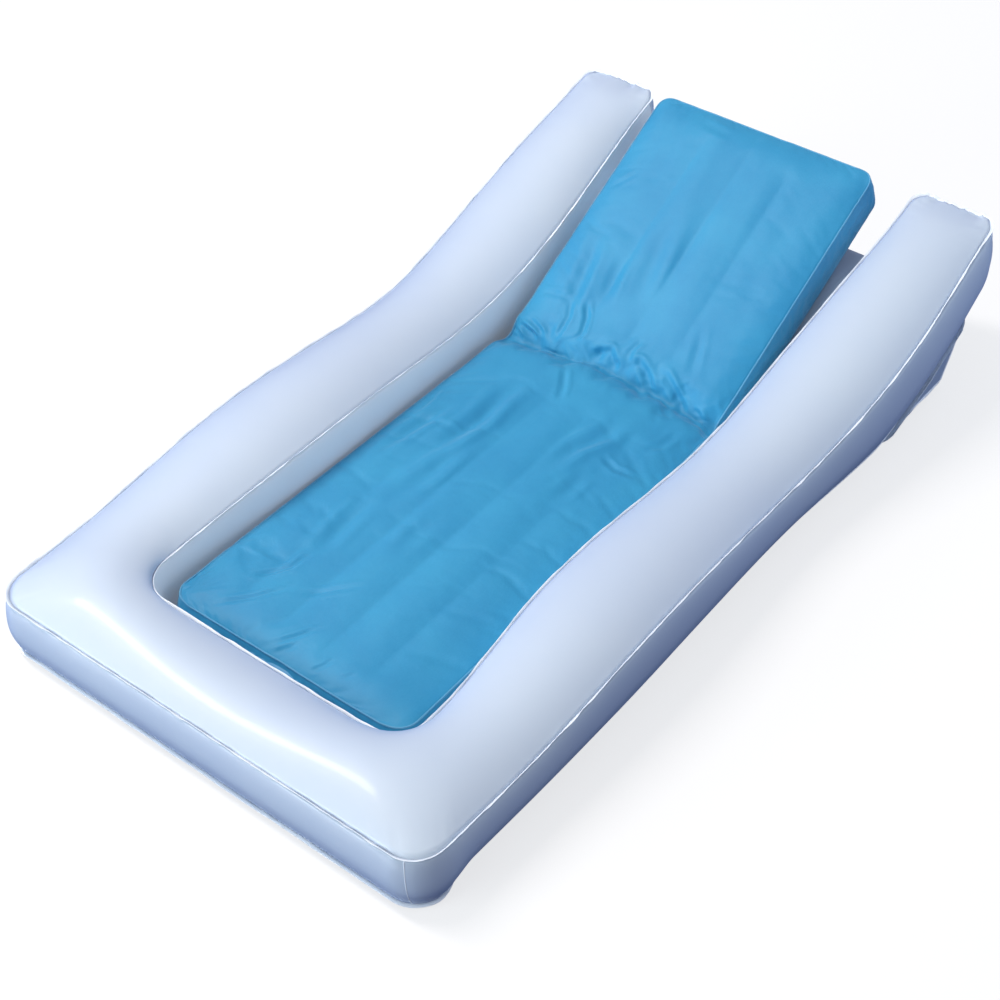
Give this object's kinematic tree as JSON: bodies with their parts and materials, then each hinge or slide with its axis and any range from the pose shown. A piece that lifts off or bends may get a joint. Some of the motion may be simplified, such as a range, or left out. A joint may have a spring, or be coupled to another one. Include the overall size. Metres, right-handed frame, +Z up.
{
  "type": "inflatable pool float",
  "caption": "Reclining inflatable pool float: welded U-shaped frame with raised arms and a fabric-covered air mattress whose backrest folds at the crease.",
  "frame": {"origin": "middle of the float's footprint, on the ground", "axes": "+Y from the foot end to the head end, +Z up, +X to the right seen from the foot end looking towards the head"},
  "size_m": [1.1042, 1.912, 0.4065],
  "materials": {
    "frame_film": "smooth glossy PVC film, pale blue-white",
    "cover_fabric": "plain woven coated polyester, sky blue, satin",
    "bladder_film": "smooth PVC film, blue",
    "hook_tape": "hook-and-loop tape, matt",
    "zip_tape": "woven zip tape with nylon coil",
    "zip_metal": "enamelled zinc",
    "valve_plastic": "soft moulded PVC, slightly milky"
  },
  "bodies": {
    "float": {"hull_top_panel": "frame_film", "hull_bottom_panel": "frame_film", "hull_outer_wall": "frame_film", "hull_inner_wall": "frame_film", "arm_end_panels": "frame_film", "floor_sheet": "frame_film", "bolster_shell": "frame_film", "bolster_tie_web": "frame_film", "seat_cover": "cover_fabric", "seat_bladder": "bladder_film", "seat_tie_webs": "bladder_film", "hinge_web": "bladder_film", "floor_hook_tapes": "hook_tape", "cover_loop_tapes": "hook_tape", "hull_valve_base": "valve_plastic", "bolster_valve_base": "valve_plastic", "seat_valve_base": "valve_plastic"},
    "backrest": {"back_cover": "cover_fabric", "back_bladder": "bladder_film", "back_tie_webs": "bladder_film", "back_valve_base": "valve_plastic", "zip_tape": "zip_tape"},
    "zip_slider": {"zip_slider": "zip_metal"},
    "zip_pull": {"zip_pull": "zip_metal"},
    "hull_valve_stem": {"hull_valve_stem": "valve_plastic"},
    "hull_valve_cap": {"hull_valve_cap": "valve_plastic"},
    "hull_valve_flap": {"hull_valve_flap": "valve_plastic"},
    "bolster_valve_stem": {"bolster_valve_stem": "valve_plastic"},
    "bolster_valve_cap": {"bolster_valve_cap": "valve_plastic"},
    "bolster_valve_flap": {"bolster_valve_flap": "valve_plastic"},
    "seat_valve_stem": {"seat_valve_stem": "valve_plastic"},
    "seat_valve_cap": {"seat_valve_cap": "valve_plastic"},
    "seat_valve_flap": {"seat_valve_flap": "valve_plastic"},
    "back_valve_stem": {"back_valve_stem": "valve_plastic"},
    "back_valve_cap": {"back_valve_cap": "valve_plastic"},
    "back_valve_flap": {"back_valve_flap": "valve_plastic"}
  },
  "joints": [
    {"name": "backrest_fold", "type": "hinge", "parent": "float", "child": "backrest", "pos_m": [0, 0.294, 0.098], "axis": [1, 0, 0], "range_deg": [0, 130]},
    {"name": "hull_valve_stem_slide", "type": "slide", "parent": "float", "child": "hull_valve_stem", "axis": [0, 1, 0], "range_m": [0, 0.014]},
    {"name": "hull_valve_cap_hinge", "type": "hinge", "parent": "hull_valve_stem", "child": "hull_valve_cap", "pos_m": [-0.436, 0.9532, 0.2498], "axis": [-1, 0, 0], "range_deg": [0, 140]},
    {"name": "hull_valve_flap_hinge", "type": "hinge", "parent": "hull_valve_stem", "child": "hull_valve_flap", "pos_m": [-0.436, 0.9294, 0.2553], "axis": [1, 0, 0], "range_deg": [0, 60]},
    {"name": "bolster_valve_stem_slide", "type": "slide", "parent": "float", "child": "bolster_valve_stem", "axis": [0, 0.8486, -0.529], "range_m": [0, 0.014]},
    {"name": "bolster_valve_cap_hinge", "type": "hinge", "parent": "bolster_valve_stem", "child": "bolster_valve_cap", "pos_m": [-0.15, 0.84426, 0.06695], "axis": [-1, 0, 0], "range_deg": [0, 140]},
    {"name": "bolster_valve_flap_hinge", "type": "hinge", "parent": "bolster_valve_stem", "child": "bolster_valve_flap", "pos_m": [-0.15, 0.82697, 0.08421], "axis": [1, 0, 0], "range_deg": [0, 60]},
    {"name": "seat_valve_stem_slide", "type": "slide", "parent": "float", "child": "seat_valve_stem", "axis": [0, 1, 0], "range_m": [0, 0.014]},
    {"name": "seat_valve_cap_hinge", "type": "hinge", "parent": "seat_valve_stem", "child": "seat_valve_cap", "pos_m": [0, 0.2907, 0.0378], "axis": [-1, 0, 0], "range_deg": [0, 140]},
    {"name": "seat_valve_flap_hinge", "type": "hinge", "parent": "seat_valve_stem", "child": "seat_valve_flap", "pos_m": [0, 0.2669, 0.0433], "axis": [1, 0, 0], "range_deg": [0, 60]},
    {"name": "back_valve_stem_slide", "type": "slide", "parent": "backrest", "child": "back_valve_stem", "axis": [0, 0.8788, 0.4772], "range_m": [0, 0.014]},
    {"name": "back_valve_cap_hinge", "type": "hinge", "parent": "back_valve_stem", "child": "back_valve_cap", "pos_m": [-0.17, 0.90527, 0.35684], "axis": [-1, 0, 0], "range_deg": [0, 140]},
    {"name": "back_valve_flap_hinge", "type": "hinge", "parent": "back_valve_stem", "child": "back_valve_flap", "pos_m": [-0.17, 0.88173, 0.35032], "axis": [1, 0, 0], "range_deg": [0, 60]},
    {"name": "zip_slide", "type": "slide", "parent": "backrest", "child": "zip_slider", "axis": [1, 0, 0], "range_m": [0, 0.38]},
    {"name": "zip_pull_hinge", "type": "hinge", "parent": "zip_slider", "child": "zip_pull", "pos_m": [-0.19, 0.87426, 0.28675], "axis": [0, 0.8788, 0.4772], "range_deg": [0, 170]}
  ]
}
